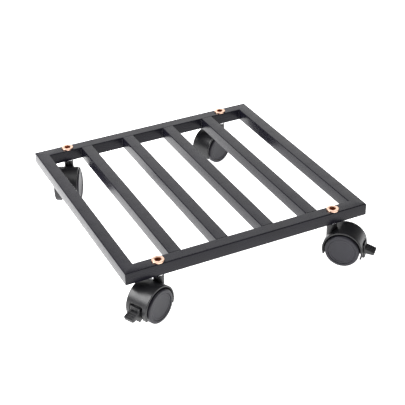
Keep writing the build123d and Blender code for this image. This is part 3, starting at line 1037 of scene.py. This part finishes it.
def swivel_cutter(name):
    """Cutter for the stem's bore and, below it, the pocket that the stem's ring turns in."""
    top = UNDERSIDE + OVERSHOOT
    profile = [(RING_POCKET_BOTTOM, 0), (RING_POCKET_BOTTOM, RING_POCKET_RADIUS),
               (NECK_BOTTOM, RING_POCKET_RADIUS), (NECK_BOTTOM, PIN_BORE_RADIUS), (top, PIN_BORE_RADIUS),
               (top, 0)]
    return lathe("swivel", profile, castor_frame(name), 48)


def hood_shell(name, castor, braked):
    """Curved hood wall, with a round-cornered slot for the pedal at its front where there is a brake."""
    radius = castor.hood_radius
    end = math.degrees(castor.hood_end_angle)
    corner_angle = math.degrees(SLOT_CORNER / radius)
    width = castor.hood_half_width
    slot = castor.slot_half_width
    slot_top = math.degrees(castor.slot_top_angle)
    right_half = [HOOD_COLUMN, slot - SLOT_CORNER, slot, slot + SLOT_CORNER, width - HOOD_EDGE, width]
    across = [-distance for distance in reversed(right_half)] + [0.0] + right_half
    lower_steps = 14
    angles = [-end + (slot_top - corner_angle + end) * step / lower_steps for step in range(lower_steps + 1)]
    upper_steps = 66
    angles += [slot_top + (180 + end - slot_top) * step / upper_steps for step in range(upper_steps + 1)]
    place = castor_frame(name)
    centre = (castor_trail(name), castor.wheel_radius)

    def point(angle, distance):
        turn = math.radians(angle)
        local = Vector((centre[0] + radius * math.cos(turn), distance, centre[1] + radius * math.sin(turn)))
        return place @ local

    edit = bmesh.new()
    grid = [[edit.verts.new(point(angle, distance)) for distance in across] for angle in angles]
    for row in range(len(angles) - 1):
        for column in range(len(across) - 1):
            in_slot = angles[row] < slot_top - 0.01 and abs(across[column] + across[column + 1]) / 2 < slot
            if braked and in_slot:
                continue
            edit.faces.new((grid[row][column], grid[row][column + 1], grid[row + 1][column + 1],
                            grid[row + 1][column]))
    if braked:
        top_row = lower_steps + 1
        for side in (-1, 1):
            column = across.index(side * slot)
            tip = grid[top_row][column]
            previous = grid[top_row - 1][column]
            steps = 5
            for step in range(1, steps + 1):
                if step < steps:
                    turn = math.radians(90 * step / steps)
                    following = edit.verts.new(point(slot_top - corner_angle * (1 - math.sin(turn)),
                                                     side * (slot - SLOT_CORNER * (1 - math.cos(turn)))))
                else:
                    following = grid[top_row][column - side]
                edit.faces.new((tip, previous, following))
                previous = following
    loose = [vertex for vertex in edit.verts if not vertex.link_faces]
    bmesh.ops.delete(edit, geom=loose, context="VERTS")
    bmesh.ops.recalc_face_normals(edit, faces=edit.faces)
    middle = place @ Vector((centre[0], 0, centre[1]))
    probe = next(iter(edit.faces))
    outwards = probe.calc_center_median() - middle
    along = place.to_3x3() @ Vector((0, 1, 0))
    outwards -= along * outwards.dot(along)
    if probe.normal.dot(outwards) < 0:
        bmesh.ops.reverse_faces(edit, faces=edit.faces)
    mesh = bpy.data.meshes.new("shell")
    edit.to_mesh(mesh)
    edit.free()
    shell = new_object("shell", mesh)
    wall = shell.modifiers.new("Wall", "SOLIDIFY")
    wall.thickness = castor.hood_thickness
    wall.offset = -1.0
    wall.use_even_offset = True
    bake(shell)
    return cut(soften(shell, 0.0005, 3, 50.0, clamp=False), swivel_cutter(name))


def hood_core(name, castor, braked):
    """Web between the wheels, swivel neck, axle boss and, where there is a brake, the pedal's cheeks."""
    place = castor_frame(name)
    trail = castor_trail(name)
    centre = (trail, castor.wheel_radius)
    reach = castor.hood_radius - castor.hood_thickness / 2
    start = math.degrees(math.acos((WEB_FRONT - trail) / reach))
    end = 180 + math.degrees(math.asin((castor.wheel_radius - WEB_BOTTOM) / reach))
    outline = [(WEB_FRONT, WEB_BOTTOM)] + arc(centre, reach, start, end, 40)
    web = prism("web", outline, -WEB_HALF_THICKNESS, WEB_HALF_THICKNESS, place)
    web = soften(web, 0.0004, 2, 50.0)
    cut(web, swivel_cutter(name))

    neck_path = [(NECK_BOTTOM, PIN_BORE_RADIUS), (NECK_BOTTOM, castor.neck_radius),
                 (NECK_TOP, castor.neck_radius), (NECK_TOP, PIN_BORE_RADIUS)]
    neck_path = rounded_path(neck_path, [0, 0.0003, 0.0005, 0])
    neck = lathe("neck", neck_path, castor_frame(name))
    boss_path = [(-BOSS_HALF_LENGTH, AXLE_RADIUS), (-BOSS_HALF_LENGTH, BOSS_RADIUS),
                 (BOSS_HALF_LENGTH, BOSS_RADIUS), (BOSS_HALF_LENGTH, AXLE_RADIUS)]
    boss_path = rounded_path(boss_path, [0, 0.0004, 0.0004, 0])
    boss = lathe("boss", boss_path, axle_frame(name, 1, castor.wheel_radius))
    parts = [web, neck, boss]
    if braked:
        near, far = CHEEK_FACES
        for low, high in ((near, far), (-far, -near)):
            outline = sector_outline(name, castor, CHEEK_INNER_RADIUS, reach, *CHEEK_SPAN)
            parts.append(soften(prism("cheek", outline, low, high, place), 0.0002, 2, 50.0))
    return parts


class STAND_OT_hoods(Operator):
    """Make the castor hoods with their swivel necks"""

    bl_idname = "stand.hoods"
    bl_label = "Hoods"

    def execute(self, context):
        castor = sizes(context, "castor_sizes")
        for name in CASTOR_NAMES:
            braked = name in BRAKED_NAMES
            hood = join(f"{name}_hood_moulding", [hood_shell(name, castor, braked),
                                                  *hood_core(name, castor, braked)])
            finish_piece(hood, "hood_nylon", f"{name}_castor", [f"{name}_hood"])
        return {"FINISHED"}


class STAND_OT_wheels(Operator):
    """Make the wheels, with a round-shouldered tread, a thin disc and ribs on the hidden side"""

    bl_idname = "stand.wheels"
    bl_label = "Wheels"

    def execute(self, context):
        castor = sizes(context, "castor_sizes")
        material = finish_for(context, "wheel_nylon")
        face = castor.half_width
        tread = castor.wheel_radius
        points = [(WHEEL_INNER_FACE, WHEEL_BORE_RADIUS), (WHEEL_INNER_FACE, HUB_RADIUS),
                  (DISC_INNER_FACE, HUB_RADIUS), (DISC_INNER_FACE, RIM_INNER_RADIUS),
                  (WHEEL_INNER_FACE, RIM_INNER_RADIUS), (WHEEL_INNER_FACE, SHOULDER_RADIUS),
                  (SHOULDER_END, SHOULDER_RADIUS), (SHOULDER_END, tread), (face, tread),
                  (face, COVER_RADIUS), (DISC_OUTER_FACE, COVER_RADIUS), (DISC_OUTER_FACE, HUB_RADIUS),
                  (HUB_END, HUB_RADIUS), (HUB_END, WHEEL_BORE_RADIUS)]
        radii = [0, 0.0002, 0.0004, 0.0004, 0.0002, 0.0003, 0.0003, 0.0005, TREAD_ROUNDING, 0.0003, 0, 0,
                 0.0001, 0]
        profile = rounded_path(points, radii, 6, closed=True)
        recipe = wheel_rib_recipe(castor.rib_count, HUB_RADIUS - RIB_OVERLAP, RIM_INNER_RADIUS + RIB_OVERLAP,
                                  RIB_THICKNESS, RIB_DEPTH, RIB_START)
        for node, place in wheel_places(castor):
            wheel = lathe(f"{node}_wheel_turning", profile, place, 128)
            finish_piece(wheel, "wheel_nylon", f"{node}_roller", [f"{node}_wheel"])
            ribs = recipe.make(f"{node}_wheel_ribs", material)
            ribs.data.transform(place)
            finish_piece(ribs, "wheel_nylon", f"{node}_roller", [])
        return {"FINISHED"}


class STAND_OT_covers(Operator):
    """Make the cover discs that close the wheels' outer faces"""

    bl_idname = "stand.covers"
    bl_label = "Wheel Covers"

    def execute(self, context):
        castor = sizes(context, "castor_sizes")
        outer = castor.half_width - COVER_STEP
        dish = outer - DISH_DEPTH
        points = [(COVER_INNER_FACE, 0.0), (COVER_INNER_FACE, COVER_SKIRT_RADIUS),
                  (DISC_OUTER_FACE, COVER_SKIRT_RADIUS), (DISC_OUTER_FACE, COVER_RADIUS),
                  (outer, COVER_RADIUS), (outer, DISH_RADII[0]), (dish, DISH_RADII[1]), (dish, 0.0)]
        radii = [0, 0, 0, 0, 0.0006, 0.0003, 0.0003, 0]
        profile = rounded_path(points, radii, 5)
        for node, place in wheel_places(castor):
            cover = lathe(f"{node}_cover_disc", profile, place, 128)
            finish_piece(cover, "wheel_nylon", f"{node}_roller", [f"{node}_cover"])
        return {"FINISHED"}


def recess_cutter(name, castor):
    """Ring-shaped cutter for the shallow recess round the small raised panel on a pedal's pad."""
    centre = Vector((castor_trail(name), 0, castor.wheel_radius))
    turn = math.radians(RECESS_ANGLE)
    outwards = Vector((math.cos(turn), 0, math.sin(turn)))
    upwards = Vector((-math.sin(turn), 0, math.cos(turn)))
    loops = []
    for (width, height), corner in ((RECESS_SIZE, RECESS_CORNER), (ISLAND_SIZE, ISLAND_CORNER)):
        corners = [(width / 2, height / 2), (-width / 2, height / 2), (-width / 2, -height / 2),
                   (width / 2, -height / 2)]
        path = rounded_path(corners, [corner] * 4, 4, closed=True)
        for reach in (PAD_RADII[1] - RECESS_DEPTH, PAD_RADII[1] + OVERSHOOT):
            loops.append([centre + outwards * reach + upwards * up + Vector((0, across, 0))
                          for across, up in path])
    return loft("recess", [loops[0], loops[1], loops[3], loops[2]], castor_frame(name))


class STAND_OT_pedals(Operator):
    """Make the brake pedals: recessed pad, grooved tongue, heel, pivot lug and shoes"""

    bl_idname = "stand.pedals"
    bl_label = "Brake Pedals"

    def execute(self, context):
        castor = sizes(context, "castor_sizes")
        material = finish_for(context, "hood_nylon")
        half = castor.pedal_half_width
        for name in BRAKED_NAMES:
            place = castor_frame(name)
            centre = (castor_trail(name), castor.wheel_radius)
            inner, outer = PAD_RADII
            outline = arc(centre, outer, PAD_TOP_ANGLE, TONGUE_TOP_ANGLE, 8)
            outline += [*TONGUE_TIP, *HEEL_OUTLINE]
            outline += arc(centre, inner, PAD_END_ANGLE, PAD_TOP_ANGLE, 14)
            body = prism("body", outline, -half, half, place)
            self.round_tip(body, place, TONGUE_CORNER)
            tip = TONGUE_TIP[0]
            recipe = groove_recipe(castor.groove_count, (TONGUE_ROOT[0], 0, TONGUE_ROOT[1]),
                                   (tip[0], 0, tip[1]), *GROOVE_SIZE)
            cutter = recipe.make("grooves", material)
            cutter.data.transform(place)
            cut(body, cutter)
            cut(body, recess_cutter(name, castor))
            soften(body, 0.0003, 2, 42.0)
            plate = sector_outline(name, castor, PIVOT_RADIUS, INNER_PLATE_RADIUS, 0.0, PIVOT_ANGLE)
            lug = prism("lug", plate, -LUG_HALF_WIDTH, LUG_HALF_WIDTH, place)
            pivot_x, pivot_z = polar(name, castor, PIVOT_RADIUS, PIVOT_ANGLE)
            ring = [(-LUG_HALF_WIDTH, PIVOT_BORE_RADIUS), (-LUG_HALF_WIDTH, LUG_RADIUS),
                    (LUG_HALF_WIDTH, LUG_RADIUS), (LUG_HALF_WIDTH, PIVOT_BORE_RADIUS)]
            turn = Matrix(((1, 0, 0), (0, 0, 1), (0, -1, 0))).to_4x4()
            pivot_place = place @ Matrix.Translation((pivot_x, 0, pivot_z)) @ turn
            eye = lathe("eye", ring, pivot_place, 48)
            cut(lug, drill(-half, half, PIVOT_BORE_RADIUS, pivot_place))
            pads = sector_outline(name, castor, SHOE_RADIUS, INNER_PLATE_RADIUS, *SHOE_SPAN)
            shoe = prism("shoe", pads, -SHOE_HALF_WIDTH, SHOE_HALF_WIDTH, place)
            pedal = join(f"{name}_pedal_moulding", [body, soften(lug, 0.0002, 2), eye,
                                                    soften(shoe, 0.0002, 2)])
            finish_piece(pedal, "hood_nylon", f"{name}_brake", [f"{name}_pedal"])
        return {"FINISHED"}

    @staticmethod
    def round_tip(body, place, radius):
        """Round the two corners of the tongue's end."""
        tip_top, tip_bottom = (Vector(corner) for corner in TONGUE_TIP)
        back = place.inverted()
        edit = bmesh.new()
        edit.from_mesh(body.data)
        edges = []
        for edge in edit.edges:
            ends = [back @ vertex.co for vertex in edge.verts]
            flat = [Vector((end.x, end.z)) for end in ends]
            distances = sorted(min((point - tip_top).length, (point - tip_bottom).length)
                               for point in flat)
            upright = (flat[0] - flat[1]).length > SHORTEST_END and abs(ends[0].y - ends[1].y) < SAME_POINT
            if distances[1] < SAME_POINT and upright:
                edges.append(edge)
        if len(edges) != 2:
            raise RuntimeError("the tongue's end corners were not found")
        bmesh.ops.bevel(edit, geom=edges, offset=radius, segments=6, affect="EDGES", profile=0.5)
        edit.to_mesh(body.data)
        edit.free()


class STAND_OT_small_parts(Operator):
    """Give the axles, rings and pedal pins that stay as they are their plated finish"""

    bl_idname = "stand.small_parts"
    bl_label = "Axles, Rings and Pins"

    def execute(self, context):
        material = finish_for(context, "zinc_plate")
        for name, node in frame["nodes"].items():
            if not name.endswith(("_axle", "_axle_rings", "_stem_ring", "_pedal_pin")):
                continue
            if not node.material_slots:
                node.data.materials.append(material)
            for slot in node.material_slots:
                slot.material = material
        return {"FINISHED"}


# ---------------------------------------------------------------- stage

def area_light(name, place, target, width, height, power):
    """Soft rectangular light that faces a point."""
    data = bpy.data.lights.new(name, "AREA")
    data.shape = "RECTANGLE"
    data.size = width
    data.size_y = height
    data.energy = power
    light = new_object(name, data)
    light.location = place
    light.rotation_euler = (Vector(target) - Vector(place)).to_track_quat("-Z", "Y").to_euler()


class STAND_OT_stage(Operator):
    """Lay the floor, set the lights and place the camera"""

    bl_idname = "stand.stage"
    bl_label = "Floor, Lights and Camera"

    def execute(self, context):
        stage = sizes(context, "stage_sizes")
        reach = 4.0
        mesh = bpy.data.meshes.new("floor")
        mesh.from_pydata([(-reach, -reach, 0), (reach, -reach, 0), (reach, reach, 0), (-reach, reach, 0)],
                         [], [(0, 1, 2, 3)])
        mesh.materials.append(floor_paint(sizes(context, "colours").floor))
        floor = new_object("floor", mesh)

        world = bpy.data.worlds.new("Studio")
        world.use_nodes = True
        world.node_tree.nodes["Background"].inputs["Color"].default_value = (1, 1, 1, 1)
        world.node_tree.nodes["Background"].inputs["Strength"].default_value = stage.sky
        context.scene.world = world
        area_light("key_light", (0.1, -0.2, 1.6), MIDDLE, 1.6, 1.6, stage.key_power)
        area_light("side_light", (-1.1, 0.2, 0.9), (-0.25, 0.05, 0.0), 0.9, 0.9, stage.side_power)
        area_light("rear_light", (0.58, 1.23, 0.83), MIDDLE, 1.4, 1.0, stage.rear_power)

        back = Vector((math.sin(CAMERA_TURN) * math.cos(CAMERA_RISE),
                       -math.cos(CAMERA_TURN) * math.cos(CAMERA_RISE), math.sin(CAMERA_RISE)))
        level = Vector((0, 0, 1)).cross(back).normalized()
        upright = back.cross(level)
        right = level * math.cos(CAMERA_ROLL) + upright * math.sin(CAMERA_ROLL)
        up = -level * math.sin(CAMERA_ROLL) + upright * math.cos(CAMERA_ROLL)
        middle = MIDDLE + Vector((0, 0, DECK))
        place = middle + SIDE * (back * CAMERA_BACK + right * CAMERA_RIGHT - up * CAMERA_DOWN)
        data = bpy.data.cameras.new("camera")
        data.lens = stage.lens
        data.sensor_width = 36.0
        data.clip_start = 0.05
        camera = new_object("camera", data)
        camera.matrix_world = Matrix.Translation(place) @ Matrix((right, up, back)).transposed().to_4x4()
        context.scene.camera = camera
        context.scene.view_settings.view_transform = "Standard"
        return {"FINISHED"}


# ---------------------------------------------------------------- panel and registration

OPERATORS = (STAND_OT_stage, STAND_OT_rails, STAND_OT_slats, STAND_OT_welds, STAND_OT_nuts, STAND_OT_stems,
             STAND_OT_hoods, STAND_OT_wheels, STAND_OT_covers, STAND_OT_pedals, STAND_OT_small_parts)
GROUPS = {"frame_sizes": StandFrameSizes, "castor_sizes": StandCastorSizes, "colours": StandColours,
          "stage_sizes": StandStageSizes}


class STAND_PT_sidebar(Panel):
    """Sizes, colours and build steps of the stand"""

    bl_idname = "STAND_PT_sidebar"
    bl_label = "Rolling Stand"
    bl_space_type = "VIEW_3D"
    bl_region_type = "UI"
    bl_category = "Stand"

    def draw(self, context):
        for title, group in GROUPS.items():
            box = self.layout.box()
            box.label(text=title.replace("_", " ").title())
            settings = getattr(context.scene, f"stand_{title}")
            for key in group.__annotations__:
                box.prop(settings, key)
        for operator in OPERATORS:
            self.layout.operator(operator.bl_idname)


def register():
    for title, group in GROUPS.items():
        bpy.utils.register_class(group)
        setattr(bpy.types.Scene, f"stand_{title}", PointerProperty(type=group))
    for operator in OPERATORS:
        bpy.utils.register_class(operator)
    bpy.utils.register_class(STAND_PT_sidebar)


def unregister():
    bpy.utils.unregister_class(STAND_PT_sidebar)
    for operator in reversed(OPERATORS):
        bpy.utils.unregister_class(operator)
    for title, group in reversed(GROUPS.items()):
        delattr(bpy.types.Scene, f"stand_{title}")
        bpy.utils.unregister_class(group)


def main():
    register()
    for operator in OPERATORS:
        group, name = operator.bl_idname.split(".")
        getattr(getattr(bpy.ops, group), name)()
    bpy.context.view_layer.update()


if __name__ == "__main__":
    main()
